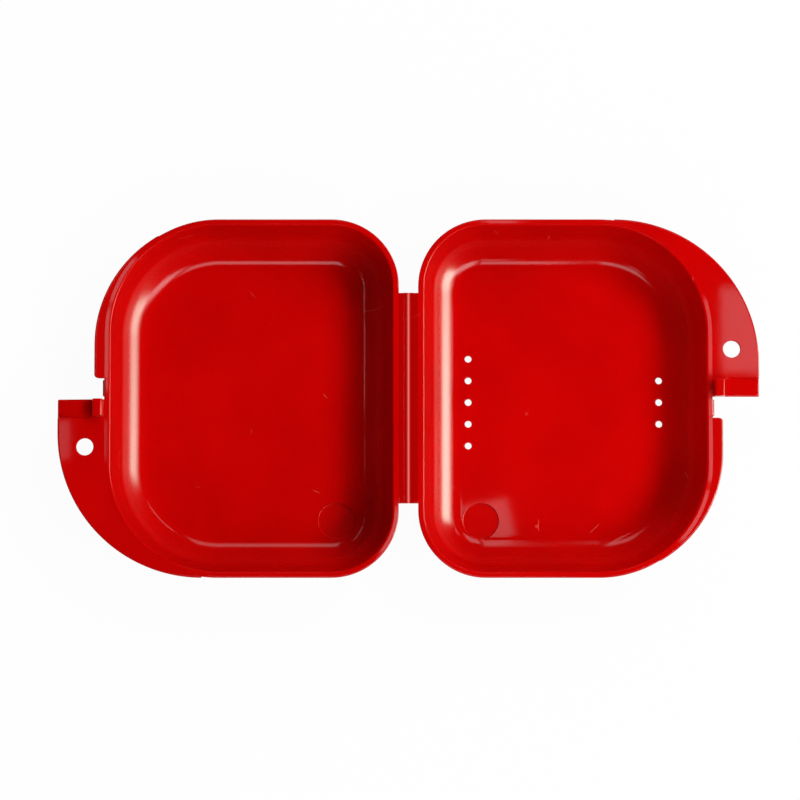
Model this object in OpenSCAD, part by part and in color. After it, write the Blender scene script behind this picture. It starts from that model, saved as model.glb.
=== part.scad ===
// Orthodontic retainer case: a hinged box of two round-cornered trays, moulded in one shot.
// It is drawn lying open and flat, inside up: the base on the left, the vented lid on the right.
// Units are millimetres. X runs across the hinge, Y along it and Z up. The origin lies under
// the middle of the hinge, on the surface that both trays rest on.
// Each half is drawn to the right of the hinge. The base is that half turned half a turn about Z.

/* [Tray] */
// Length of each tray along the hinge
tray_len = 80; // [72:0.5:95]
// Width of each tray, from its hinge-side wall to its front wall
tray_w = 65.5; // [58:0.5:80]
// Height of each half, from its flat underside to its rim
half_h = 13.3; // [11.5:0.1:17]
// Thickness of the floor
floor_t = 1.3; // [0.9:0.1:1.8]
// Width of the rim's top
rim_w = 1.4; // [1:0.1:1.8]
// Outer radius of the two corners beside the hinge
hinge_corner_r = 15; // [13:0.5:16]
// Outer radius of the two front corners
front_corner_r = 25.3; // [20:0.1:27]
// Lean of the walls from upright, in degrees
wall_lean = 12.5; // [8:0.5:18]
// Radius between wall and floor, inside
pocket_fillet_r = 7.4; // [4:0.1:9]
// Rounding of the rim's inner edge
rim_edge_r = 0.5; // [0.2:0.05:0.6]

/* [Hinge] */
// Length of the hinge strip
hinge_len = 47; // [30:0.5:48]
// Width of the hinge strip, from tray to tray
hinge_w = 4.3; // [3.6:0.1:6]
// Thickness of the two stiff leaves of the strip
leaf_t = 1.1; // [0.9:0.05:1.3]
// Width of the thinned band between the leaves
film_w = 1.6; // [1.3:0.1:2.2]
// Thickness of the film where it folds
film_t = 0.35; // [0.25:0.05:0.5]
// Depth of the film's top below the leaves' top
film_recess = 0.15; // [0.05:0.05:0.2]
// Upright land left at each edge of the film's round groove
film_land = 0.05; // [0.03:0.01:0.1]
// Gap between the two rims when the case is shut
closed_gap = 0.2; // [0.1:0.05:0.4]

/* [Front lip] */
// Thickness of the lip and the tab, and height of the upright band under the rim
lip_t = 1.4; // [1.3:0.1:1.8]
// How far the narrow lip stands out of the front wall
lip_reach = 2.25; // [1.5:0.05:3]
// Radius of the lip's outer edge round the front corner
lip_corner_r = 28; // [27.4:0.1:30]
// Distance of the lip's end from the centre line
lip_end = 4.4; // [3:0.1:6]
// Rounding of the lip's free corner
lip_end_r = 0.9; // [0.3:0.1:1.2]
// Where the lip starts, as an angle round the front corner from straight ahead
lip_start = 58; // [45:1:62]

/* [Latch tab] */
// How far the finger tab stands out of the front wall
tab_reach = 10.35; // [8.5:0.05:13]
// Radius of the tab's outer edge round the front corner
tab_corner_r = 32.2; // [29:0.1:34]
// Distance of the tab's end from the centre line
tab_end = 0.3; // [0.2:0.05:0.6]
// Where the tab starts, as an angle round the front corner from straight ahead
tab_start = 82; // [70:1:82]
// Fall of the thumb ramp at the tab's end
ramp_drop = 0.8; // [0.2:0.05:0.9]
// Diameter of the lanyard hole
lanyard_d = 3.8; // [2.5:0.1:4.5]
// Distance of the lanyard hole from the front wall
lanyard_out = 4.25; // [3:0.05:5.5]
// Distance of the lanyard hole from the centre line
lanyard_v = 10.9; // [8:0.1:14]

/* [Snap catch] */
// Gap between the shut nib and the other half's catch bead
nib_play = 0.15; // [0.1:0.05:0.2]
// Thickness of the nib at its foot
nib_t = 2.3; // [1.5:0.1:3]
// Slope of the nib's outer side, as a run across its height
nib_taper = 0.4; // [0.1:0.1:0.8]
// How far the nib's barb stands inward
barb_reach = 0.3; // [0.2:0.05:0.4]
// Height of the barb below the nib's tip
barb_h = 0.8; // [0.6:0.1:1]
// Gap between the shut barb and the catch bead above it
catch_play = 0.15; // [0.1:0.05:0.3]
// Radius of the catch bead on the front wall
bead_r = 0.35; // [0.25:0.05:0.4]
// Depth of the catch bead's middle below the rim
bead_drop = 0.7; // [0.5:0.05:0.8]
// Gap between the shut nib and the other half's lip end
catch_clearance = 0.3; // [0.2:0.05:0.6]

/* [Vents and floor marks] */
// Diameter of a vent hole
vent_d = 1.5; // [1:0.1:2.5]
// Distance from one vent to the next
vent_pitch = 4.9; // [3.5:0.1:6]
// Distance of a row of vents from the wall that it runs along
vent_inset = 11.3; // [11:0.1:16]
// Vents in the row beside the hinge
hinge_vents = 5; // [1:1:9]
// Vents in the row beside the front
front_vents = 3; // [1:1:9]
// Diameter of the round moulding mark in each floor
mark_d = 8; // [5:0.5:10]
// Depth of the moulding mark
mark_depth = 0.25; // [0.1:0.05:0.4]
// Distance of the mark's middle from the hinge-side wall
mark_inset = 14.1; // [12:0.1:20]
// Distance of the mark's middle from the tray's near end
mark_end_inset = 13.3; // [12:0.1:20]

/* [Hidden] */
$fn = 96;

case_red = [0.76, 0.02, 0.02];
film_red = [0.90, 0.42, 0.38];

// How far a cutting solid runs past the face that it cuts
cut_past = 1;

half_len = tray_len / 2;
tray_in = hinge_w / 2;
tray_out = tray_in + tray_w;
front_corner = [tray_out - front_corner_r, half_len - front_corner_r];
hinge_corner = [tray_in + hinge_corner_r, half_len - hinge_corner_r];

// The wall's section is drawn with its outer face at x = 0 and its inside at negative x.
lean_sin = sin(wall_lean);
lean_cos = cos(wall_lean);
pocket_depth = half_h - floor_t;
band_z = half_h - lip_t;
// Least radius left at the floor's corners beside the hinge, which limits both fillets
least_floor_r = 0.5;
widest_foot = hinge_corner_r - least_floor_r;
fillet_room = ((widest_foot - rim_w) * lean_cos - pocket_depth * lean_sin) / (1 - lean_sin);
shell_room = (widest_foot * lean_cos - band_z * lean_sin) / (1 - lean_sin);
fillet_in = min(pocket_fillet_r, pocket_depth, fillet_room);
fillet_out = min(fillet_in + floor_t, shell_room);
pocket_foot = rim_w + (fillet_in * (1 - lean_sin) + pocket_depth * lean_sin) / lean_cos;
shell_foot = (fillet_out * (1 - lean_sin) + band_z * lean_sin) / lean_cos;
centre_in = [-pocket_foot, floor_t + fillet_in];
centre_out = [-shell_foot, fillet_out];
rim_centre = [-rim_w + rim_edge_r * (1 - lean_sin) / lean_cos, half_h - rim_edge_r];
// Straight steps in each arc of the section
foot_steps = 10;
edge_steps = 4;

nib_in = tray_out + bead_r + nib_play;
nib_out = nib_in + nib_t;
nib_h = closed_gap + bead_drop + bead_r + catch_play + barb_h;
nib_end = lip_end - catch_clearance;
nib_len = nib_end - tab_end;
leaf_w = tray_in - film_w / 2;
groove_r = film_w / 2 - film_land;

// Points along an arc about a centre, from one angle to another
function arc(centre, r, from, to, steps) = [
    for (i = [0:steps])
        let (angle = from + (to - from) * i / steps)
            centre + r * [cos(angle), sin(angle)]
];

// Section through wall and floor, as deep as asked: upright band, leaning wall and round foot
module wall_section(depth) {
    polygon(concat(
        [[0, half_h], [0, band_z]],
        arc(centre_out, fillet_out, -wall_lean, -90, foot_steps),
        [[-depth, 0], [-depth, floor_t]],
        arc(centre_in, fillet_in, -90, -wall_lean, foot_steps),
        arc(rim_centre, rim_edge_r, 180 - wall_lean, 90, edge_steps)
    ));
}

// A straight run of wall and floor along Y, with its outer face towards +X
module wall_run(length, depth) {
    rotate([90, 0, 0])
        linear_extrude(length, center = true)
            wall_section(depth);
}

// A quarter turn of wall and floor about Z, from facing +X to facing +Y
module wall_corner(r) {
    rotate_extrude(angle = 90)
        translate([r, 0])
            wall_section(r);
}

// One tray: middle of the floor, four straight walls and four corners
module tray_shell() {
    side_run = front_corner.x - hinge_corner.x;
    translate([hinge_corner.x, -hinge_corner.y, 0])
        cube([side_run, 2 * hinge_corner.y, floor_t]);
    translate([tray_out, 0, 0])
        wall_run(2 * front_corner.y, front_corner_r);
    translate([tray_in, 0, 0])
        rotate([0, 0, 180])
            wall_run(2 * hinge_corner.y, hinge_corner_r);
    for (end = [-1, 1])
        translate([hinge_corner.x + side_run / 2, end * half_len, 0])
            rotate([0, 0, end * 90])
                wall_run(side_run, hinge_corner_r);
    translate(front_corner)
        wall_corner(front_corner_r);
    translate([front_corner.x, -front_corner.y])
        rotate([0, 0, -90])
            wall_corner(front_corner_r);
    translate(hinge_corner)
        rotate([0, 0, 90])
            wall_corner(hinge_corner_r);
    translate([hinge_corner.x, -hinge_corner.y])
        rotate([0, 0, 180])
            wall_corner(hinge_corner_r);
}

// The round mark that the mould leaves in the floor, towards one end of the tray
module floor_mark(end) {
    translate([tray_in + mark_inset, end * (half_len - mark_end_inset), floor_t - mark_depth])
        cylinder(d = mark_d, h = pocket_depth);
}

// A row of vents through the floor, centred on the tray
module vent_row(x, count) {
    for (i = [0:count - 1])
        translate([x, (i - (count - 1) / 2) * vent_pitch, -cut_past])
            cylinder(d = vent_d, h = half_h);
}

// Plan inside a front edge at the given reach, which rounds one corner into the tray's end
module front_area(reach, r) {
    translate([reach - r, half_len - r])
        circle(r);
    square([reach - r, half_len]);
    square([reach, half_len - r]);
}

// Plan of a plate that grows out of the wall round the front corner, down to its end
module corner_plan(reach, r, end, start) {
    far = tray_len + tray_w;
    difference() {
        intersection() {
            front_area(tray_out + reach, r);
            polygon([
                [front_corner.x, end], front_corner, front_corner + far * [cos(start), sin(start)],
                front_corner + [far, far], [front_corner.x + far, end]
            ]);
        }
        front_area(tray_out, front_corner_r);
    }
}

// The narrow lip, on the half of the front that has no tab
module front_lip() {
    corner = [tray_out + lip_reach - lip_end_r, lip_end + lip_end_r];
    mirror([0, 1, 0])
        translate([0, 0, band_z])
            linear_extrude(lip_t)
                difference() {
                    corner_plan(lip_reach, lip_corner_r, lip_end, lip_start);
                    difference() {
                        translate([corner.x, lip_end - cut_past])
                            square(lip_end_r + cut_past);
                        translate(corner)
                            circle(lip_end_r);
                    }
                }
}

// The finger tab, with its lanyard hole and the thumb ramp at its end
module latch_tab() {
    ramp_run = tray_out + tab_reach - nib_out;
    ramp_past = (ramp_run + cut_past) / ramp_run;
    difference() {
        translate([0, 0, band_z])
            linear_extrude(lip_t)
                corner_plan(tab_reach, tab_corner_r, tab_end, tab_start);
        translate([tray_out + lanyard_out, lanyard_v, band_z - cut_past])
            cylinder(d = lanyard_d, h = lip_t + 2 * cut_past);
        translate([nib_out, lip_end, half_h])
            rotate([90, 0, 0])
                linear_extrude(lip_end)
                    polygon([
                        [0, 0], ramp_past * [ramp_run, -ramp_drop],
                        [ramp_past * ramp_run, cut_past], [0, cut_past]
                    ]);
    }
}

// The upright nib on the tab, whose barb snaps under the other half's catch bead
module latch_nib() {
    tip_z = half_h + nib_h;
    translate([0, nib_end, 0])
        rotate([90, 0, 0])
            linear_extrude(nib_len)
                polygon([
                    [nib_in, half_h], [nib_out, half_h], [nib_out - nib_taper, tip_z],
                    [nib_in + barb_reach, tip_z], [nib_in - barb_reach, tip_z - barb_h / 2],
                    [nib_in, tip_z - barb_h]
                ]);
}

// The half-round bead on the bare front wall between lip and tab
module catch_bead() {
    translate([tray_out, -tab_end, half_h - bead_drop])
        rotate([90, 0, 0])
            linear_extrude(nib_len)
                intersection() {
                    circle(bead_r);
                    translate([0, -bead_r])
                        square(2 * bead_r);
                }
}

// The stiff plate from the tray's rim to the film
module hinge_leaf() {
    translate([film_w / 2, -hinge_len / 2, half_h - leaf_t])
        cube([leaf_w, hinge_len, leaf_t]);
}

module as_base() {
    color(case_red)
        rotate([0, 0, 180])
            children();
}

module as_lid() {
    color(case_red)
        children();
}

module base_tray() {
    as_base()
        difference() {
            tray_shell();
            floor_mark(1);
        }
}

module base_front_lip() {
    as_base() front_lip();
}

module base_latch_tab() {
    as_base() latch_tab();
}

module base_latch_nib() {
    as_base() latch_nib();
}

module base_catch_bead() {
    as_base() catch_bead();
}

module base_hinge_leaf() {
    as_base() hinge_leaf();
}

// The thinned band that folds, with a round groove along its underside
module hinge_film() {
    film_top = half_h - film_recess;
    color(film_red)
        difference() {
            translate([-film_w / 2, -hinge_len / 2, half_h - leaf_t])
                cube([film_w, hinge_len, leaf_t - film_recess]);
            translate([0, 0, film_top - film_t - groove_r])
                rotate([90, 0, 0])
                    cylinder(r = groove_r, h = hinge_len + 2 * cut_past, center = true);
        }
}

module lid_tray() {
    as_lid()
        difference() {
            tray_shell();
            floor_mark(-1);
            vent_row(tray_in + vent_inset, hinge_vents);
            vent_row(tray_out - vent_inset, front_vents);
        }
}

module lid_front_lip() {
    as_lid() front_lip();
}

module lid_latch_tab() {
    as_lid() latch_tab();
}

module lid_latch_nib() {
    as_lid() latch_nib();
}

module lid_catch_bead() {
    as_lid() catch_bead();
}

module lid_hinge_leaf() {
    as_lid() hinge_leaf();
}

base_tray();
base_front_lip();
base_latch_tab();
base_latch_nib();
base_catch_bead();
base_hinge_leaf();
hinge_film();
lid_tray();
lid_front_lip();
lid_latch_tab();
lid_latch_nib();
lid_catch_bead();
lid_hinge_leaf();
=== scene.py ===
# Looks of a hinged retainer case: two glossy red trays, moulded in one shot, lying open and flat.
# Every piece is drawn as part of the lid, to the right of the hinge. The base's copy is turned half
# a turn about the upright axis, as the two halves of the moulding are.
import math

import bmesh
import bpy
from mathutils import Matrix, Quaternion, Vector


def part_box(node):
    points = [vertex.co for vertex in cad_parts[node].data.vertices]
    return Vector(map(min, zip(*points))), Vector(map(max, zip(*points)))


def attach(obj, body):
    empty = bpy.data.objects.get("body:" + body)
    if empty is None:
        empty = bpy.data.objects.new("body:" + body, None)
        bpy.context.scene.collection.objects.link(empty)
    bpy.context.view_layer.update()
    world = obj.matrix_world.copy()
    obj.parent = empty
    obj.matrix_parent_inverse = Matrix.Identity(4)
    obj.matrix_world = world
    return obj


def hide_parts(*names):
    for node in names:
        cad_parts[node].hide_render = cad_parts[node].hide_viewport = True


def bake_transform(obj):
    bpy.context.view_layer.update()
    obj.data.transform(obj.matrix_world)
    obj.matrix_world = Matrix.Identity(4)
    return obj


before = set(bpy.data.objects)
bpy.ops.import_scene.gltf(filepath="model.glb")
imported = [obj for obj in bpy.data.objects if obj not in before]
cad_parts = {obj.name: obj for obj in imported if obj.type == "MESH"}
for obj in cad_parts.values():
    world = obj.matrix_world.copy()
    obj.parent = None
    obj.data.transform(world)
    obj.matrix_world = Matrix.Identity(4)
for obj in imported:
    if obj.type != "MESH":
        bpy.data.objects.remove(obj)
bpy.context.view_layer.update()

MM = 0.001

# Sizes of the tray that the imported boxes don't give
FLOOR_T = 1.3 * MM
RIM_W = 1.4 * MM
RIM_EDGE_R = 0.5 * MM
WALL_LEAN = 12.5
POCKET_FILLET_R = 7.4 * MM
HINGE_CORNER_R = 15 * MM
FRONT_CORNER_R = 25.3 * MM
# The rim's top falls a little towards its outer edge, and its free outer edge is soft
RIM_FALL = 0.04 * MM
FREE_EDGE_R = 0.3 * MM

# Lip, tab and catch
LIP_CORNER_R = 28 * MM
LIP_END_R = 0.9 * MM
LIP_START = 58
TAB_CORNER_R = 32.2 * MM
TAB_START = 82
RAMP_DROP = 0.8 * MM
RAMP_SHOULDER = 0.3 * MM
LANYARD_R = 1.9 * MM
LANYARD_OUT = 4.25 * MM
LANYARD_V = 10.9 * MM
PLATE_EDGE_R = 0.3 * MM
# Reach of a plate where it starts, and width of the strips that part its level top from its edges
LEAST_REACH = 0.02 * MM
EDGE_STRIP = 0.1 * MM
NIB_EDGE_R = 0.2 * MM
NIB_BARB = 0.3 * MM
NIB_BARB_H = 0.8 * MM
NIB_TAPER = 0.4 * MM
LEAST_BEAD_R = 0.001 * MM
# Degrees over which the rim's outer edge goes from sharp to soft where a plate starts on a corner
EDGE_FADE_DEG = 4

# Vents, floor marks and film
VENT_R = 0.75 * MM
VENT_PITCH = 4.9 * MM
VENT_INSET = 11.3 * MM
HINGE_VENTS = 5
FRONT_VENTS = 3
HOLE_EDGE_R = 0.15 * MM
MARK_R = 4 * MM
MARK_DEPTH = 0.25 * MM
MARK_INSET = 14.1 * MM
MARK_END_INSET = 13.3 * MM
FILM_T = 0.35 * MM
FILM_LAND = 0.05 * MM
FILM_BRIGHT_HALF = 0.22 * MM
LEAF_FALL_W = 1.2 * MM

# How far one piece's root is sunk into the piece that it grows out of
ROOT = 0.3 * MM
# Width of the flat ring that parts a floor from its fillet
FLOOR_RING = 0.6 * MM
STRAIGHT_STEP = 1.5 * MM
# A face wider than this is shaded flat where it faces straight up or down, so that a floor stays even between
# its holes. Round the rim, tops that fall a little are shaded flat too.
WIDE_FACE = 0.3 * MM ** 2
LEVEL = 0.9999
NEARLY_LEVEL = 0.99
# Edges that turn by more degrees than this stay crisp, and points closer than the weld become one
SHARP_ANGLE = 38
WELD = 0.0002 * MM

# How finely round forms are divided
FILLET_STEPS = 28
RIM_STEPS = 8
EDGE_STEPS = 5
HOLE_STEPS = 40
HOLE_EDGE_STEPS = 4
MARK_STEPS = 72
BEAD_STEPS = 10
END_STEPS = 8
SHOULDER_STEPS = 6
NIB_EDGE_STEPS = 4
FILM_COLUMNS = 40
CORNER_STEPS_PER_MM = 1.6
PLATE_STEP_DEG = 1.5

TRAY_LOW, TRAY_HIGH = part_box("lid_tray")
TRAY_IN, TRAY_OUT = TRAY_LOW.x, TRAY_HIGH.x
HALF_LEN, HALF_H = TRAY_HIGH.y, TRAY_HIGH.z
LIP_LOW, LIP_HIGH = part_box("lid_front_lip")
LIP_REACH, LIP_END, LIP_T = LIP_HIGH.x - TRAY_OUT, -LIP_HIGH.y, LIP_HIGH.z - LIP_LOW.z
TAB_LOW, TAB_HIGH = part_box("lid_latch_tab")
TAB_REACH, TAB_END = TAB_HIGH.x - TRAY_OUT, TAB_LOW.y
NIB_LOW, NIB_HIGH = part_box("lid_latch_nib")
BEAD_LOW, BEAD_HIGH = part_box("lid_catch_bead")
LEAF_LOW, LEAF_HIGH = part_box("lid_hinge_leaf")
FILM_LOW, FILM_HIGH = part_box("hinge_film")

PLATE_TOP = HALF_H - RIM_FALL
BAND_Z = HALF_H - LIP_T
RAMP_START = NIB_HIGH.x - TRAY_OUT
RAMP_SIDE = LIP_END
FRONT_CORNER = Vector((TRAY_OUT - FRONT_CORNER_R, HALF_LEN - FRONT_CORNER_R))
HINGE_CORNER = Vector((TRAY_IN + HINGE_CORNER_R, HALF_LEN - HINGE_CORNER_R))
MARK_X, MARK_Y = TRAY_IN + MARK_INSET, HALF_LEN - MARK_END_INSET
LEAN_SIN = math.sin(math.radians(WALL_LEAN))
LEAN_COS = math.cos(math.radians(WALL_LEAN))
SHELL_FILLET_R = POCKET_FILLET_R + FLOOR_T
POCKET_FOOT = RIM_W + (POCKET_FILLET_R * (1 - LEAN_SIN) + (HALF_H - FLOOR_T) * LEAN_SIN) / LEAN_COS
SHELL_FOOT = (SHELL_FILLET_R * (1 - LEAN_SIN) + BAND_Z * LEAN_SIN) / LEAN_COS

HALVES = {"lid": Matrix.Identity(4), "base": Matrix.Rotation(math.pi, 4, "Z")}
PIECE_SETS = {half: bpy.data.collections.new(f"{half}_pieces") for half in HALVES}


# Shapes

def arc(centre, r, start, end, steps):
    """Points along an arc, both ends included. Angles are in degrees."""
    points = []
    for i in range(steps + 1):
        angle = math.radians(start + (end - start) * i / steps)
        points.append(Vector((centre[0] + r * math.cos(angle), centre[1] + r * math.sin(angle))))
    return points


def spaced(start, end, step):
    """Values from start to end, about a step apart."""
    count = max(1, round(abs(end - start) / step))
    return [start + (end - start) * i / count for i in range(count + 1)]


def share(value, low, high):
    """How far a value lies between two others, from 0 to 1, eased at both ends."""
    t = min(1, max(0, (value - low) / (high - low)))
    return t * t * (3 - 2 * t)


def skin(rows, loop=False):
    """A mesh of quads over rows of points. Each row is a closed section, or the rows make a loop."""
    bm = bmesh.new()
    grid = [[bm.verts.new(point) for point in row] for row in rows]
    for i in range(len(grid) if loop else len(grid) - 1):
        here, there = grid[i], grid[(i + 1) % len(grid)]
        columns = len(here) - 1 if loop else len(here)
        for k in range(columns):
            j = (k + 1) % len(here)
            bm.faces.new((here[k], here[j], there[j], there[k]))
    for face in bm.faces:
        face.smooth = True
    ends = [[row[0] for row in grid], [row[-1] for row in grid]] if loop else [grid[0], grid[-1]]
    for end in ends:
        bm.faces.new(end)
    return bm


def lathe(profile, centre, steps):
    """A closed turned solid about an upright axis, from (radius, height) points."""
    rows = []
    for i in range(steps):
        angle = 2 * math.pi * i / steps
        out = Vector((math.cos(angle), math.sin(angle), 0))
        rows.append([Vector((*centre, 0)) + out * r + Vector((0, 0, z)) for r, z in profile])
    return skin(rows, loop=True)


def mesh_object(bm, name):
    """A scene object from a bmesh, with its seams closed and its faces turned outward."""
    bmesh.ops.remove_doubles(bm, verts=bm.verts, dist=WELD)
    bmesh.ops.dissolve_degenerate(bm, edges=bm.edges, dist=WELD)
    bmesh.ops.recalc_face_normals(bm, faces=bm.faces)
    mesh = bpy.data.meshes.new(name)
    bm.to_mesh(mesh)
    bm.free()
    obj = bpy.data.objects.new(name, mesh)
    bpy.context.scene.collection.objects.link(obj)
    return obj


def cut(obj, cutters):
    """Takes the cutters' shapes out of a piece."""
    for i, bm in enumerate(cutters):
        cutter = mesh_object(bm, f"cutter_{i}")
        modifier = obj.modifiers.new("cut", "BOOLEAN")
        modifier.operation = "DIFFERENCE"
        modifier.solver = "EXACT"
        modifier.object = cutter
        bpy.context.view_layer.update()
        whole = obj.data
        obj.data = bpy.data.meshes.new_from_object(obj.evaluated_get(bpy.context.evaluated_depsgraph_get()))
        obj.modifiers.clear()
        bpy.data.meshes.remove(whole)
        bpy.data.meshes.remove(cutter.data)


def fit(obj, node, half, material):
    """Turns a piece to its half, gives it its finish and puts it in its node's place."""
    obj.data.transform(HALVES[half])
    obj.data.set_sharp_from_angle(angle=math.radians(SHARP_ANGLE))
    for face in obj.data.polygons:
        level = NEARLY_LEVEL if face.center.z > BAND_Z else LEVEL
        face.use_smooth = face.area < WIDE_FACE or abs(face.normal.z) < level
    obj.data.materials.clear()
    obj.data.materials.append(material)
    PIECE_SETS[half].objects.link(obj)
    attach(obj, half)
    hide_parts(node)


# Tray

def edge_radius(p):
    """Rounding of the rim's outer edge at a point of the wall: none where a plate grows out of it."""
    fade = PLATE_EDGE_R
    if p.x < HINGE_CORNER.x:
        return FREE_EDGE_R * share(abs(p.y), LEAF_HIGH.y, LEAF_HIGH.y + fade)
    if p.x < FRONT_CORNER.x:
        return FREE_EDGE_R
    if abs(p.y) < FRONT_CORNER.y:
        return FREE_EDGE_R * share(p.y, -LIP_END, fade - LIP_END) * share(-p.y, -TAB_END, fade - TAB_END)
    angle = math.degrees(math.atan2(abs(p.y) - FRONT_CORNER.y, p.x - FRONT_CORNER.x))
    start = TAB_START if p.y > 0 else LIP_START
    return FREE_EDGE_R * share(angle, start, start + EDGE_FADE_DEG)


def wall_stations():
    """Points round a tray's outer wall with their outward directions."""
    breaks = [-LIP_END, PLATE_EDGE_R - LIP_END, TAB_END - PLATE_EDGE_R, TAB_END]
    front = sorted(spaced(-FRONT_CORNER.y, FRONT_CORNER.y, STRAIGHT_STEP) + breaks)
    ends = [LEAF_HIGH.y, LEAF_HIGH.y + PLATE_EDGE_R]
    hinge = sorted(spaced(-HINGE_CORNER.y, HINGE_CORNER.y, STRAIGHT_STEP) + ends + [-y for y in ends])
    side = spaced(FRONT_CORNER.x, HINGE_CORNER.x, STRAIGHT_STEP)
    flip = Vector((1, -1))
    stations = [(Vector((TRAY_OUT, y)), Vector((1, 0))) for y in front]
    for angle, centre, r, run in (
        (0, FRONT_CORNER, FRONT_CORNER_R, [Vector((x, HALF_LEN)) for x in side]),
        (90, HINGE_CORNER, HINGE_CORNER_R, [Vector((TRAY_IN, y)) for y in reversed(hinge)]),
        (180, HINGE_CORNER * flip, HINGE_CORNER_R, [Vector((x, -HALF_LEN)) for x in reversed(side)]),
        (270, FRONT_CORNER * flip, FRONT_CORNER_R, []),
    ):
        steps = round(r / MM * CORNER_STEPS_PER_MM)
        outs = arc((0, 0), 1, angle, angle + 90, steps)
        stations += [(centre + r * out, out) for out in outs[1:-1]]
        stations += [(p, outs[-1]) for p in run]
    return stations


def tray_section(edge_r):
    """Section through a tray's wall, from the middle of the pocket's floor over the rim to the underside.
    It is given as distances out of the outer wall and heights."""
    rim_centre = (RIM_EDGE_R * (1 - LEAN_SIN) / LEAN_COS - RIM_W, HALF_H - RIM_EDGE_R)
    section = [Vector((-POCKET_FOOT - FLOOR_RING, FLOOR_T))]
    pocket_centre = (-POCKET_FOOT, FLOOR_T + POCKET_FILLET_R)
    section += arc(pocket_centre, POCKET_FILLET_R, -90, -WALL_LEAN, FILLET_STEPS)
    section += arc(rim_centre, RIM_EDGE_R, 180 - WALL_LEAN, 90, RIM_STEPS)
    inner, outer = rim_centre[0] + EDGE_STRIP, -edge_r - EDGE_STRIP
    outer_top = HALF_H - RIM_FALL * (outer - inner) / (-EDGE_STRIP - inner)
    section += [Vector((inner, HALF_H)), Vector((outer, outer_top))]
    section += arc((-edge_r, outer_top - edge_r), edge_r, 90, 0, EDGE_STEPS)
    section.append(Vector((0, BAND_Z)))
    section += arc((-SHELL_FOOT, SHELL_FILLET_R), SHELL_FILLET_R, -WALL_LEAN, -90, FILLET_STEPS)
    section.append(Vector((-SHELL_FOOT - FLOOR_RING, 0)))
    return section


def hole_cutter(x, y, r, low, high):
    """A pin that leaves a round hole with soft edges between two heights."""
    e = HOLE_EDGE_R
    profile = [(0, low - e), (r + e, low - e)]
    profile += [tuple(p) for p in arc((r + e, low + e), e, 270, 180, HOLE_EDGE_STEPS)]
    profile += [tuple(p) for p in arc((r + e, high - e), e, 180, 90, HOLE_EDGE_STEPS)]
    profile += [(r + e, high + e), (0, high + e)]
    return lathe(profile, (x, y), HOLE_STEPS)


def mark_cutter(end):
    """A disc that leaves the shallow round moulding mark, near one end of the floor."""
    e = HOLE_EDGE_R / 2
    low = FLOOR_T - MARK_DEPTH
    profile = [(0, low), (MARK_R - 2 * e, low)]
    profile += [tuple(p) for p in arc((MARK_R - e, low + e), e, 270, 360, HOLE_EDGE_STEPS)]
    profile += [tuple(p) for p in arc((MARK_R + e, FLOOR_T - e), e, 180, 90, HOLE_EDGE_STEPS)]
    profile += [(MARK_R + e, FLOOR_T + e), (0, FLOOR_T + e)]
    return lathe(profile, (MARK_X, end * MARK_Y), MARK_STEPS)


def vent_cutters():
    """The pins that leave the two rows of vents."""
    cutters = []
    for x, count in ((TRAY_IN + VENT_INSET, HINGE_VENTS), (TRAY_OUT - VENT_INSET, FRONT_VENTS)):
        for i in range(count):
            y = (i - (count - 1) / 2) * VENT_PITCH
            cutters.append(hole_cutter(x, y, VENT_R, 0, FLOOR_T))
    return cutters


def tray(half, material):
    """A tray: floor, round fillets, leaning walls and soft rim, with its mark and any vents."""
    rows = []
    for p, out in wall_stations():
        rows.append([Vector((*(p + out * s.x), s.y)) for s in tray_section(edge_radius(p))])
    obj = mesh_object(skin(rows, loop=True), f"{half}_tray_shell")
    cut(obj, [mark_cutter(-1)] + vent_cutters() if half == "lid" else [mark_cutter(1)])
    fit(obj, f"{half}_tray", half, material)


# Plates round the rim

def front_reach(foot, out, reach, corner_r):
    """Distance from a point of the front wall to the outer edge of a plate that stands out of it."""
    centre = Vector((TRAY_OUT + reach - corner_r, HALF_LEN - corner_r))
    from_centre = foot - centre
    along = from_centre.dot(out)
    far = math.sqrt(max(0, along * along - from_centre.length_squared + corner_r * corner_r)) - along
    if (foot + far * out).y >= centre.y:
        return far
    return (TRAY_OUT + reach - foot.x) / out.x


def end_values(end, corner_r):
    """Distances along a plate's last stretch, close together where its corner and edges are round."""
    turns = [math.cos(math.pi / 2 * i / END_STEPS) for i in range(END_STEPS + 1)]
    return sorted({end + r * (1 - t) for r in (corner_r, PLATE_EDGE_R) for t in turns if r > 0})


def end_inset(from_end):
    """How far a plate's soft end pulls its section in, at a distance from that end."""
    if from_end >= PLATE_EDGE_R:
        return 0
    return PLATE_EDGE_R - math.sqrt(PLATE_EDGE_R ** 2 - (PLATE_EDGE_R - max(0, from_end)) ** 2)


def plate_section(width, inset, bottom, fall_start, fall):
    """Section through a plate that grows out of the wall: a soft outer edge, and a root inside the wall.
    Its top falls evenly from a given distance to the outer edge."""
    outer = width - inset
    r = min(PLATE_EDGE_R - inset, outer)
    edge = outer - r
    low = bottom + inset

    def height(u):
        return PLATE_TOP - inset - fall * max(0, u - fall_start) / max(width - fall_start, EDGE_STRIP)

    stops = (0, EDGE_STRIP, fall_start, fall_start + EDGE_STRIP, edge - EDGE_STRIP, edge)
    section = [Vector((-ROOT, PLATE_TOP - ROOT))]
    section += [Vector((u, height(u))) for u in sorted(min(edge, max(0, stop)) for stop in stops)]
    section += arc((edge, height(edge) - r), r, 90, 0, EDGE_STEPS)[1:]
    section += arc((edge, low + r), r, 0, -90, EDGE_STEPS)
    section += [Vector((max(0, edge - EDGE_STRIP), low)), Vector((0, low)), Vector((-ROOT, bottom + ROOT))]
    return section


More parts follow.
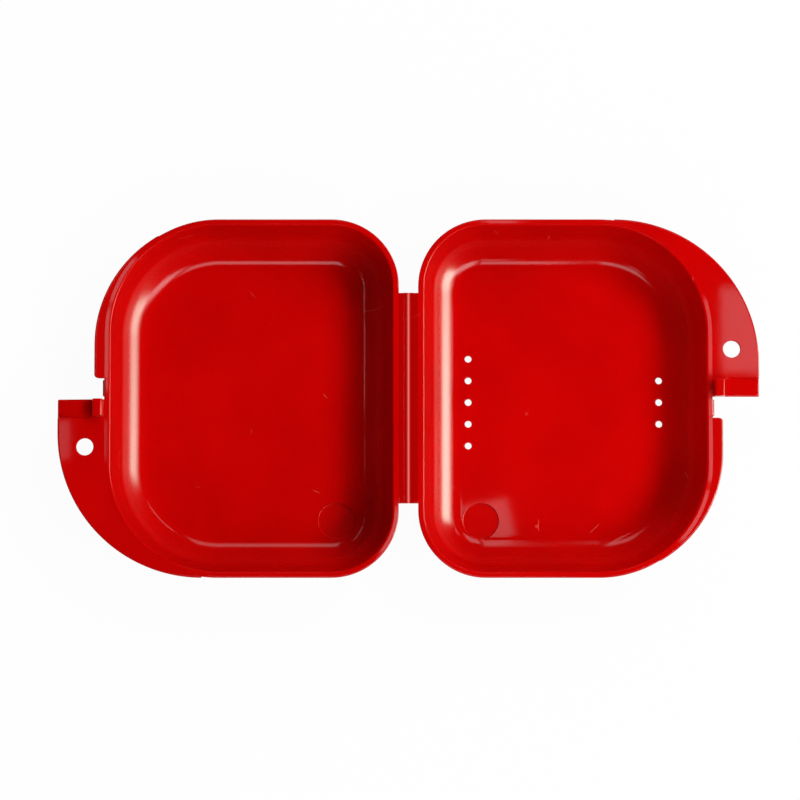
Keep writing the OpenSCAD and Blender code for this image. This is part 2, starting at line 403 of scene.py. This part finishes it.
def front_plate(half, name, reach, corner_r, end, start, end_r, ramp_side, mirrored):
    """A plate that grows out of the front wall round one corner and ends near the middle."""
    stations = []
    for angle in spaced(start, 0, PLATE_STEP_DEG):
        out = Vector((math.cos(math.radians(angle)), math.sin(math.radians(angle))))
        stations.append((FRONT_CORNER + FRONT_CORNER_R * out, out))
    shoulder = []
    if ramp_side:
        halfway = SHOULDER_STEPS / 2
        steps = range(SHOULDER_STEPS + 1)
        shoulder = [ramp_side + RAMP_SHOULDER * (i - halfway) / SHOULDER_STEPS for i in steps]
    last = end_values(end, end_r)
    run = [y for y in spaced(FRONT_CORNER.y, end, STRAIGHT_STEP)[1:-1] if y > last[-1]]
    ys = sorted(set(run + shoulder + last), reverse=True)
    stations += [(Vector((TRAY_OUT, y)), Vector((1, 0))) for y in ys]
    rows = []
    for foot, out in stations:
        width = front_reach(foot, out, reach, corner_r)
        from_end = foot.y - end
        if from_end < end_r:
            width += math.sqrt(end_r ** 2 - (end_r - from_end) ** 2) - end_r
        ramp = 0
        if ramp_side:
            ramp = 1 - share(foot.y, ramp_side - RAMP_SHOULDER / 2, ramp_side + RAMP_SHOULDER / 2)
        width = max(width, LEAST_REACH)
        section = plate_section(width, end_inset(from_end), BAND_Z, RAMP_START, ramp * RAMP_DROP)
        rows.append([Vector((*(foot + out * s.x), s.y)) for s in section])
    if mirrored:
        rows = [[p * Vector((1, -1, 1)) for p in row] for row in rows]
    return mesh_object(skin(rows), f"{half}_{name}_plate")


def front_lip(half, material):
    """The narrow lip on the half of the front that has no tab."""
    obj = front_plate(half, "front_lip", LIP_REACH, LIP_CORNER_R, LIP_END, LIP_START, LIP_END_R, None, True)
    fit(obj, f"{half}_front_lip", half, material)


def latch_tab(half, material):
    """The finger tab with its lanyard hole and thumb ramp."""
    obj = front_plate(half, "latch_tab", TAB_REACH, TAB_CORNER_R, TAB_END, TAB_START, 0, RAMP_SIDE, False)
    cut(obj, [hole_cutter(TRAY_OUT + LANYARD_OUT, LANYARD_V, LANYARD_R, BAND_Z, PLATE_TOP)])
    fit(obj, f"{half}_latch_tab", half, material)


def latch_nib(half, material):
    """The upright nib whose barb snaps under the other half's catch bead."""
    inner = NIB_LOW.x + NIB_BARB
    outline = [
        (inner, PLATE_TOP - ROOT),
        (NIB_HIGH.x, PLATE_TOP - ROOT),
        (NIB_HIGH.x, PLATE_TOP),
        (NIB_HIGH.x - NIB_TAPER, NIB_HIGH.z),
        (inner + NIB_BARB, NIB_HIGH.z),
        (NIB_LOW.x, NIB_HIGH.z - NIB_BARB_H / 2),
        (inner, NIB_HIGH.z - NIB_BARB_H),
    ]
    bm = skin([[Vector((x, y, z)) for x, z in outline] for y in (NIB_LOW.y, NIB_HIGH.y)])
    bmesh.ops.bevel(
        bm, geom=bm.edges, offset=NIB_EDGE_R, segments=NIB_EDGE_STEPS, profile=0.5, affect="EDGES",
        clamp_overlap=True,
    )
    for face in bm.faces:
        face.smooth = True
    obj = mesh_object(bm, f"{half}_latch_nib_block")
    fit(obj, f"{half}_latch_nib", half, material)


def catch_bead(half, material):
    """The half-round bead on the bare wall, with round ends."""
    r = BEAD_HIGH.x - BEAD_LOW.x
    middle = (BEAD_LOW.z + BEAD_HIGH.z) / 2
    rows = []
    for y in sorted(end_values(BEAD_LOW.y, r) + [-v for v in end_values(-BEAD_HIGH.y, r)]):
        from_end = min(y - BEAD_LOW.y, BEAD_HIGH.y - y, r)
        here = math.sqrt(max(0, r * r - (r - from_end) ** 2)) + LEAST_BEAD_R
        section = [Vector((-ROOT, -here)), *arc((0, 0), here, -90, 90, BEAD_STEPS), Vector((-ROOT, here))]
        rows.append([Vector((TRAY_OUT + s.x, y, middle + s.y)) for s in section])
    obj = mesh_object(skin(rows), f"{half}_catch_bead_ridge")
    fit(obj, f"{half}_catch_bead", half, material)


def hinge_leaf(half, material):
    """The stiff plate from the tray's rim to the film."""
    width = LEAF_HIGH.x - LEAF_LOW.x
    ends = end_values(0, 0)
    run = spaced(LEAF_LOW.y + PLATE_EDGE_R, LEAF_HIGH.y - PLATE_EDGE_R, STRAIGHT_STEP)[1:-1]
    ys = [LEAF_LOW.y + e for e in ends] + run + [LEAF_HIGH.y - e for e in reversed(ends)]
    rows = []
    for y in ys:
        from_end = min(y - LEAF_LOW.y, LEAF_HIGH.y - y)
        inset = end_inset(from_end)
        section = plate_section(width, inset, LEAF_LOW.z, width - LEAF_FALL_W, PLATE_TOP - FILM_HIGH.z)
        rows.append([Vector((TRAY_IN - s.x, y, s.y)) for s in section])
    obj = mesh_object(skin(rows), f"{half}_hinge_leaf_plate")
    fit(obj, f"{half}_hinge_leaf", half, material)


def hinge_film(material):
    """The thinned band that folds, with a round groove along its underside."""
    groove_r = FILM_HIGH.x - FILM_LAND
    centre_z = FILM_HIGH.z - FILM_T - groove_r
    column_w = (FILM_HIGH.x - FILM_LOW.x) / FILM_COLUMNS
    xs = spaced(FILM_HIGH.x + ROOT, FILM_LOW.x - ROOT, column_w)
    section = [Vector((x, FILM_HIGH.z)) for x in xs]
    for x in reversed(xs):
        under = math.sqrt(max(0, groove_r ** 2 - x ** 2)) + centre_z
        section.append(Vector((x, max(FILM_LOW.z, under))))
    rows = []
    for y in spaced(FILM_LOW.y, FILM_HIGH.y, STRAIGHT_STEP):
        rows.append([Vector((s.x, y, s.y)) for s in section])
    obj = mesh_object(skin(rows), "hinge_film_band")
    obj.data.set_sharp_from_angle(angle=math.radians(SHARP_ANGLE))
    # Share of the painted light along the film's thin middle, where the colour is paled towards pink
    glow = obj.data.attributes.new("painted_glow", "FLOAT", "POINT")
    for vertex in obj.data.vertices:
        glow.data[vertex.index].value = math.exp(-(vertex.co.x / FILM_BRIGHT_HALF) ** 2)
    obj.data.materials.append(material)
    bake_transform(obj)
    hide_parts("hinge_film")


# Materials

class Graph:
    """The nodes of a material or a light, added one at a time."""

    def __init__(self, owner, output):
        owner.use_nodes = True
        self.tree = owner.node_tree
        self.tree.nodes.clear()
        self.output = self.tree.nodes.new(output)

    def show(self, shader):
        """Makes a shader what the material or light shows."""
        self.tree.links.new(shader.outputs[0], self.output.inputs["Surface"])

    def add(self, kind, inputs, **settings):
        """A node with its settings, and with inputs that are values or other nodes' outputs."""
        node = self.tree.nodes.new(kind)
        for key, value in settings.items():
            setattr(node, key, value)
        for key, value in inputs.items():
            if isinstance(value, bpy.types.NodeSocket):
                self.tree.links.new(value, node.inputs[key])
            else:
                node.inputs[key].default_value = value
        return node

    def noise(self, vector, scale, detail, output="Fac"):
        inputs = {"Vector": vector, "Scale": scale, "Detail": detail}
        return self.add("ShaderNodeTexNoise", inputs).outputs[output]

    def ranged(self, value, low, high, to_low, to_high, **settings):
        inputs = {"Value": value, "From Min": low, "From Max": high, "To Min": to_low, "To Max": to_high}
        return self.add("ShaderNodeMapRange", inputs, **settings).outputs["Result"]

    def math(self, operation, a, b):
        return self.add("ShaderNodeMath", {0: a, 1: b}, operation=operation).outputs["Value"]

    def mixed(self, factor, a, b):
        node = self.add("ShaderNodeMix", {"Factor": factor}, data_type="RGBA")
        for key, value in (("A", a), ("B", b)):
            socket = next(s for s in node.inputs if s.name == key and s.type == "RGBA")
            if isinstance(value, bpy.types.NodeSocket):
                self.tree.links.new(value, socket)
            else:
                socket.default_value = value
        return next(s for s in node.outputs if s.type == "RGBA")


DEEP_RED = (0.51, 0.0005, 0.0005, 1)
BRIGHT_RED = (0.57, 0.0008, 0.0006, 1)
SCRATCH_PINK = (0.78, 0.10, 0.08, 1)
# Pale pink painted along the film's thin middle, standing in for light that passes through it
FILM_GLOW_PINK = (0.92, 0.18, 0.16, 1)
# Deeper red painted on the hinge strip as shade, where it gets less light
STRIP_SHADE_RED = (0.42, 0.0005, 0.0005, 1)
IOR = 1.49

# Specular level of the glossy and the dull places, and how dull the rims' edges are between the two
GLOSS = 0.5
DULL_GLOSS = 0.02
RIM_DULLNESS = 0.7
# A wall counts as steepest where its upward share is this low, and is dull from one steepness to the other
STEEPEST_UP = 0.4
DULL_SLOPE = (0.65, 0.9)

# Roughness of the plain plastic, and what walls, marks and scratches add
ROUGHNESS = (0.05, 0.08)
WALL_ROUGHNESS = 0.44
MARK_ROUGHNESS = 0.3
SCRATCH_ROUGHNESS = 0.2

# Noise sizes are per metre. The pairs are where each noise starts and ends to count.
FLOW_SCALE = 55
FLOW_DETAIL = 4
FLOW_RANGE = (0.35, 0.65)
GRAIN_SCALE = 1500
GRAIN_DETAIL = 2
GRAIN_RANGE = (0.3, 0.7)
SCRATCH_BEND = 6 * MM
SCRATCH_BEND_SCALE = 60
SCRATCH_CELL_SCALE = 75
SCRATCH_LINE = (0.004, 0.009)
SCRATCH_SPREAD_SCALE = 130
SCRATCH_SPREAD = (0.68, 0.72)
SCRATCH_DETAIL = 1

# How much painted shade darkens the floor marks, how much scratches change the colour, and how high the
# relief is
MARK_SHADE = 0.5
SCRATCH_TINT = 0.4
GRAIN_RELIEF = 0.03
SCRATCH_RELIEF = 0.05
RELIEF_H = 0.12 * MM
RELIEF_STRENGTH = 0.25


class Place:
    """Where a shaded point lies on the case as moulded, and which way it faces."""

    def __init__(self, graph):
        coordinates = graph.add("ShaderNodeTexCoord", {}).outputs
        self.point = coordinates["Object"]
        at = graph.add("ShaderNodeSeparateXYZ", {"Vector": coordinates["Object"]}).outputs
        facing = graph.add("ShaderNodeSeparateXYZ", {"Vector": coordinates["Normal"]}).outputs
        self.x, self.y, self.z = at["X"], at["Y"], at["Z"]
        self.out_x, self.out_y, self.up = facing["X"], facing["Y"], facing["Z"]


def pocket_slope(graph, place):
    """How steep a pocket's surface is, from 0 on its floor to 1 on its walls, which face a tray's middle."""
    middle = graph.math("MULTIPLY", graph.math("SIGN", place.x, 0), (TRAY_IN + TRAY_OUT) / 2)
    across = graph.math("MULTIPLY", graph.math("SUBTRACT", place.x, middle), place.out_x)
    away = graph.math("ADD", across, graph.math("MULTIPLY", place.y, place.out_y))
    inward, upward = graph.math("LESS_THAN", away, 0), graph.math("GREATER_THAN", place.up, 0)
    inside = graph.math("MULTIPLY", inward, upward)
    return graph.math("MULTIPLY", inside, graph.ranged(place.up, 1, STEEPEST_UP, 0, 1))


def floor_mark(graph, place):
    """Mask of the round moulding marks in the floors."""
    across = graph.math("SUBTRACT", graph.math("ABSOLUTE", place.x, 0), MARK_X)
    along = graph.math("ADD", place.y, MARK_Y)
    squares = [graph.math("MULTIPLY", way, way) for way in (across, along)]
    off_middle = graph.math("SQRT", graph.math("ADD", *squares), 0)
    inside = graph.ranged(off_middle, MARK_R, MARK_R - HOLE_EDGE_R, 0, 1)
    return graph.math("MULTIPLY", inside, graph.math("GREATER_THAN", place.up, 0.5))


def rim_edge(graph, place, slope):
    """Mask of the rims' round inner edges and of the nibs' inner sides, which are duller than the floors."""
    high = graph.math("GREATER_THAN", place.z, HALF_H - RIM_EDGE_R)
    return graph.math("MULTIPLY", high, graph.math("GREATER_THAN", slope, 0))


def scratches(graph, place):
    """Mask of a few short fine scratches."""
    bend = graph.noise(place.point, SCRATCH_BEND_SCALE, SCRATCH_DETAIL, "Color")
    bend = graph.add("ShaderNodeVectorMath", {0: bend, "Scale": SCRATCH_BEND}, operation="SCALE")
    bent = graph.add("ShaderNodeVectorMath", {0: place.point, 1: bend.outputs["Vector"]}, operation="ADD")
    inputs = {"Vector": bent.outputs["Vector"], "Scale": SCRATCH_CELL_SCALE}
    cells = graph.add("ShaderNodeTexVoronoi", inputs, feature="DISTANCE_TO_EDGE")
    line = graph.ranged(cells.outputs["Distance"], *SCRATCH_LINE, 1, 0)
    spread = graph.noise(place.point, SCRATCH_SPREAD_SCALE, SCRATCH_DETAIL)
    return graph.math("MULTIPLY", line, graph.ranged(spread, *SCRATCH_SPREAD, 0, 1))


def moulded_finish(graph):
    """Shader inputs of glossy moulded plastic: faint flow marks, fine grain and scratches, with duller walls,
    rim edges and floor marks, and painted shade that darkens the floor marks and the hinge strip."""
    place = Place(graph)
    flow = graph.noise(place.point, FLOW_SCALE, FLOW_DETAIL)
    grain = graph.noise(place.point, GRAIN_SCALE, GRAIN_DETAIL)
    slope, mark, scratch = pocket_slope(graph, place), floor_mark(graph, place), scratches(graph, place)

    colour = graph.mixed(graph.ranged(flow, *FLOW_RANGE, 0, 1), DEEP_RED, BRIGHT_RED)
    # Painted shade: the floor marks are darkened towards the deep red, as the level marks catch less light
    # than the floor round them.
    colour = graph.mixed(graph.math("MULTIPLY", mark, MARK_SHADE), colour, DEEP_RED)
    # Painted shade: the hinge strip is given a deeper red, as though it got less light.
    in_shaded_strip = graph.math("LESS_THAN", graph.math("ABSOLUTE", place.x, 0), TRAY_IN)
    colour = graph.mixed(in_shaded_strip, colour, STRIP_SHADE_RED)
    colour = graph.mixed(graph.math("MULTIPLY", scratch, SCRATCH_TINT), colour, SCRATCH_PINK)

    rough = graph.ranged(grain, *GRAIN_RANGE, *ROUGHNESS)
    for mask, more in ((slope, WALL_ROUGHNESS), (mark, MARK_ROUGHNESS), (scratch, SCRATCH_ROUGHNESS)):
        rough = graph.math("ADD", rough, graph.math("MULTIPLY", mask, more))

    relief = graph.math("ADD", flow, graph.math("MULTIPLY", grain, GRAIN_RELIEF))
    relief = graph.math("SUBTRACT", relief, graph.math("MULTIPLY", scratch, SCRATCH_RELIEF))
    inputs = {"Height": relief, "Strength": RELIEF_STRENGTH, "Distance": RELIEF_H}
    normal = graph.add("ShaderNodeBump", inputs).outputs["Normal"]

    dull = graph.math("MAXIMUM", graph.ranged(slope, *DULL_SLOPE, 0, 1), mark)
    dull_edge = graph.math("MULTIPLY", rim_edge(graph, place, slope), RIM_DULLNESS)
    dull = graph.math("MAXIMUM", dull, dull_edge)
    gloss = graph.ranged(dull, 0, 1, GLOSS, DULL_GLOSS)
    return {
        "Base Color": colour,
        "Roughness": rough,
        "Normal": normal,
        "Specular IOR Level": gloss,
        "IOR": IOR,
    }


def red_plastic():
    """Glossy red moulded polypropylene."""
    material = bpy.data.materials.new("red_polypropylene")
    graph = Graph(material, "ShaderNodeOutputMaterial")
    graph.show(graph.add("ShaderNodeBsdfPrincipled", moulded_finish(graph)))
    return material


def film_plastic_painted_glow():
    """The same plastic, with painted light: paled towards pink along the film's thin middle, standing in for
    light that passes through it.
    """
    material = bpy.data.materials.new("red_film_painted_glow")
    graph = Graph(material, "ShaderNodeOutputMaterial")
    finish = moulded_finish(graph)
    glow = graph.add("ShaderNodeAttribute", {}, attribute_name="painted_glow").outputs["Fac"]
    finish["Base Color"] = graph.mixed(glow, finish["Base Color"], FILM_GLOW_PINK)
    graph.show(graph.add("ShaderNodeBsdfPrincipled", finish))
    return material


WHITE = (1, 1, 1, 1)
TABLE_GREY = (0.8, 0.8, 0.8, 1)
# Share of plain white in what the camera and mirrored rays see of the table. The rest keeps the shadow.
TABLE_WHITENESS = 0.96


def table_top():
    """A plain white surface that stays white in view and keeps a soft shadow."""
    material = bpy.data.materials.new("white_table")
    graph = Graph(material, "ShaderNodeOutputMaterial")
    paths = graph.add("ShaderNodeLightPath", {}).outputs
    seen = graph.math("MAXIMUM", paths["Is Camera Ray"], paths["Is Glossy Ray"])
    seen = graph.math("MAXIMUM", seen, paths["Is Transmission Ray"])
    white = graph.add("ShaderNodeEmission", {"Color": WHITE, "Strength": 1.0})
    matt = graph.add("ShaderNodeBsdfDiffuse", {"Color": TABLE_GREY})
    shares = {0: graph.math("MULTIPLY", seen, TABLE_WHITENESS), 1: matt.outputs[0], 2: white.outputs[0]}
    graph.show(graph.add("ShaderNodeMixShader", shares))
    return material


# Stage, light and camera

TABLE_SIZE = 6
TABLE_DROP = 0.1 * MM
# A rectangular light's power is this many times its area and radiance
POWER_FACTOR = 4


def stage_floor():
    """A plain table, just clear of the case above it."""
    bm = bmesh.new()
    bmesh.ops.create_grid(bm, x_segments=1, y_segments=1, size=TABLE_SIZE)
    floor = mesh_object(bm, "table")
    floor.location.z = -TABLE_DROP
    floor.data.materials.append(table_top())


def area_light(name, centre, aim, turn, size, radiance, half):
    """A rectangular light that faces a point. It can be kept to the pieces of one half."""
    data = bpy.data.lights.new(name, "AREA")
    data.shape = "RECTANGLE"
    data.size, data.size_y = size
    data.energy = POWER_FACTOR * size[0] * size[1] * radiance
    obj = bpy.data.objects.new(name, data)
    bpy.context.scene.collection.objects.link(obj)
    obj.location = centre
    facing = (Vector(aim) - Vector(centre)).to_track_quat("-Z", "Y")
    obj.rotation_euler = (facing @ Quaternion((0, 0, 1), math.radians(turn))).to_euler()
    obj.visible_camera = False
    if half:
        obj.light_linking.receiver_collection = PIECE_SETS[half]
    return obj


def lamp(name, azimuth, elevation, distance, size, radiance, half=None):
    """A soft light in a given direction from the case. It lights the case and isn't mirrored in it."""
    turn, rise = math.radians(azimuth), math.radians(elevation)
    way = Vector((math.cos(turn) * math.cos(rise), math.sin(turn) * math.cos(rise), math.sin(rise)))
    obj = area_light(name, way * distance, (0, 0, 0), 0, size, radiance, half)
    obj.visible_glossy = False
    obj.data.cycles.use_multiple_importance_sampling = False


def card(name, centre, size, radiance, soft=(0.1, 0.1), aim=None, turn=0, colour=(1, 1, 1), half=None):
    """A card that is mirrored in the case and doesn't light it. It faces down unless it is given an aim.
    Its edges fade over a share of its size."""
    obj = area_light(name, centre, aim or (centre[0], centre[1], 0), turn, size, radiance, half)
    obj.visible_diffuse = False
    obj.visible_transmission = False
    obj.data.color = colour
    graph = Graph(obj.data, "ShaderNodeOutputLight")
    spot = graph.add("ShaderNodeNewGeometry", {}).outputs["Parametric"]
    spot = graph.add("ShaderNodeSeparateXYZ", {"Vector": spot}).outputs
    levels = []
    for axis, fade in zip("XY", soft):
        off_middle = graph.math("ABSOLUTE", graph.math("SUBTRACT", spot[axis], 0.5), 0)
        level = graph.ranged(off_middle, 0.5, 0.5 - fade, 0, 1, interpolation_type="SMOOTHSTEP")
        levels.append(level)
    graph.show(graph.add("ShaderNodeEmission", {"Strength": graph.math("MULTIPLY", *levels)}))


KEY_ELEVATION = 43
KEY_DISTANCE = 1.2
KEY_SIZE = (0.53, 0.30)
KEY_AZIMUTHS = (-44, -15, 15, 44)
KEY_RADIANCE = 6.1
FILL_DISTANCE = 1.0
LID_FILL_ELEVATION = 26
LID_FILL_SIZE = (0.8, 0.5)
LID_FILL_RADIANCE = 1.35
END_FILL_ELEVATION = 30
END_FILL_SIZE = (1.0, 0.6)
FRONT_FILL_RADIANCE = 1.35
REAR_FILL_RADIANCE = 1.2
WORLD_RADIANCE = 0.075
SOFTBOX_TINT = (0.58, 1.0, 0.84)
SOFTBOX_RADIANCE = {"base": 10.5, "lid": 13.5}
# Heights of the cards that face down
LOW_Z = 0.10
MIDDLE_Z = 0.30
PANEL_Z = 0.42
HIGH_Z = 0.60


def wide_cards():
    """The cards that wide highlights show: softbox on the right, strips in front, panels behind."""
    for half, radiance in SOFTBOX_RADIANCE.items():
        card(
            f"softbox_{half}", (0.50, -0.04, 0.27), (0.44, 0.58), radiance, soft=(0.3, 0.42),
            aim=(0, 0, HALF_H), colour=SOFTBOX_TINT, half=half,
        )
    card("diagonal_strip", (0.48, -0.20, HIGH_Z), (0.84, 0.24), 3.6, soft=(0.15, 0.35))
    card("front_strip", (-0.015, -0.165, HIGH_Z), (0.24, 0.17), 1.9, soft=(0.2, 0.35))
    card("back_panel", (-0.026, 0.29, PANEL_Z), (0.128, 0.22), 1.3, soft=(0.08, 0.45))
    card("back_edge", (0.172, 0.218, PANEL_Z), (0.169, 0.05), 2.5, soft=(0.1, 0.5), turn=-29, half="base")


def small_cards():
    """The cards that small patches of light show, on the lid's floor and on the tabs and rims."""
    card("over_mark", (0.0200, -0.0212, LOW_Z), (0.0124, 0.0109), 1.1, turn=12, half="lid")
    card("behind_mark", (0.0275, 0.129, MIDDLE_Z), (0.0095, 0.122), 1.5, half="lid")
    card("behind_mark_corner", (0.155, 0.28, HIGH_Z), (0.17, 0.20), 1.5, half="lid")
    card("over_lid_tab", (0.0828, 0.0241, LOW_Z), (0.0144, 0.0228), 1.2, half="lid")
    card("over_lid_rim", (0.0818, -0.003, LOW_Z), (0.008, 0.024), 1.5, half="lid")
    card("over_lid_corner", (0.0773, -0.0252, LOW_Z), (0.008, 0.020), 1.5, turn=-28, half="lid")
    card("over_base_tab", (-0.0842, -0.0025, LOW_Z), (0.005, 0.010), 0.7, half="base")
    card("over_base_rim", (-0.0818, 0.0205, LOW_Z), (0.008, 0.024), 1.3, half="base")
    card("over_base_lip_corner", (-0.0771, 0.0405, LOW_Z), (0.008, 0.018), 1.3, turn=-28, half="base")
    card("over_base_corner", (0.0030, -0.0272, LOW_Z), (0.008, 0.019), 1.5, turn=-19, half="base")


def studio():
    """A band of soft light high on the right, bent round the case, and weak fills from the other sides."""
    for i, azimuth in enumerate(KEY_AZIMUTHS):
        lamp(f"key_{i}", azimuth, KEY_ELEVATION, KEY_DISTANCE, KEY_SIZE, KEY_RADIANCE)
    lamp("lid_fill", 180, LID_FILL_ELEVATION, FILL_DISTANCE, LID_FILL_SIZE, LID_FILL_RADIANCE, "lid")
    lamp("front_fill", -90, END_FILL_ELEVATION, FILL_DISTANCE, END_FILL_SIZE, FRONT_FILL_RADIANCE)
    lamp("rear_fill", 90, END_FILL_ELEVATION, FILL_DISTANCE, END_FILL_SIZE, REAR_FILL_RADIANCE)
    wide_cards()
    small_cards()
    world = bpy.data.worlds.new("fill")
    graph = Graph(world, "ShaderNodeOutputWorld")
    mirrored = graph.add("ShaderNodeLightPath", {}).outputs["Is Glossy Ray"]
    level = graph.ranged(mirrored, 0, 1, WORLD_RADIANCE, 0)
    graph.show(graph.add("ShaderNodeBackground", {"Color": WHITE, "Strength": level}))
    bpy.context.scene.world = world


# The photograph's frame: pixels across, the hinge's middle in pixels, and its scale at the rim
FRAME_PX = 800
HINGE_PX = Vector((408.5, 397.8))
PX_PER_MM = 4.5
CAMERA_ELEVATION = 85
CAMERA_DISTANCE = 0.95


def camera():
    """A camera almost straight above, framed as in the photograph."""
    data = bpy.data.cameras.new("camera")
    obj = bpy.data.objects.new("camera", data)
    bpy.context.scene.collection.objects.link(obj)
    off = (Vector((FRAME_PX, FRAME_PX)) / 2 - HINGE_PX) / PX_PER_MM * MM
    tilt = math.radians(CAMERA_ELEVATION)
    aim = Vector((off.x, -off.y / math.sin(tilt), HALF_H))
    back = Vector((0, -math.cos(tilt), math.sin(tilt)))
    obj.location = aim + back * CAMERA_DISTANCE
    obj.rotation_euler = (-back).to_track_quat("-Z", "Y").to_euler()
    data.lens = data.sensor_width * CAMERA_DISTANCE / (FRAME_PX / PX_PER_MM * MM)
    bpy.context.scene.camera = obj


red = red_plastic()
for half_name in HALVES:
    for make in (tray, front_lip, latch_tab, latch_nib, catch_bead, hinge_leaf):
        make(half_name, red)
hinge_film(film_plastic_painted_glow())
stage_floor()
studio()
camera()
bpy.context.scene.view_settings.view_transform = "Standard"
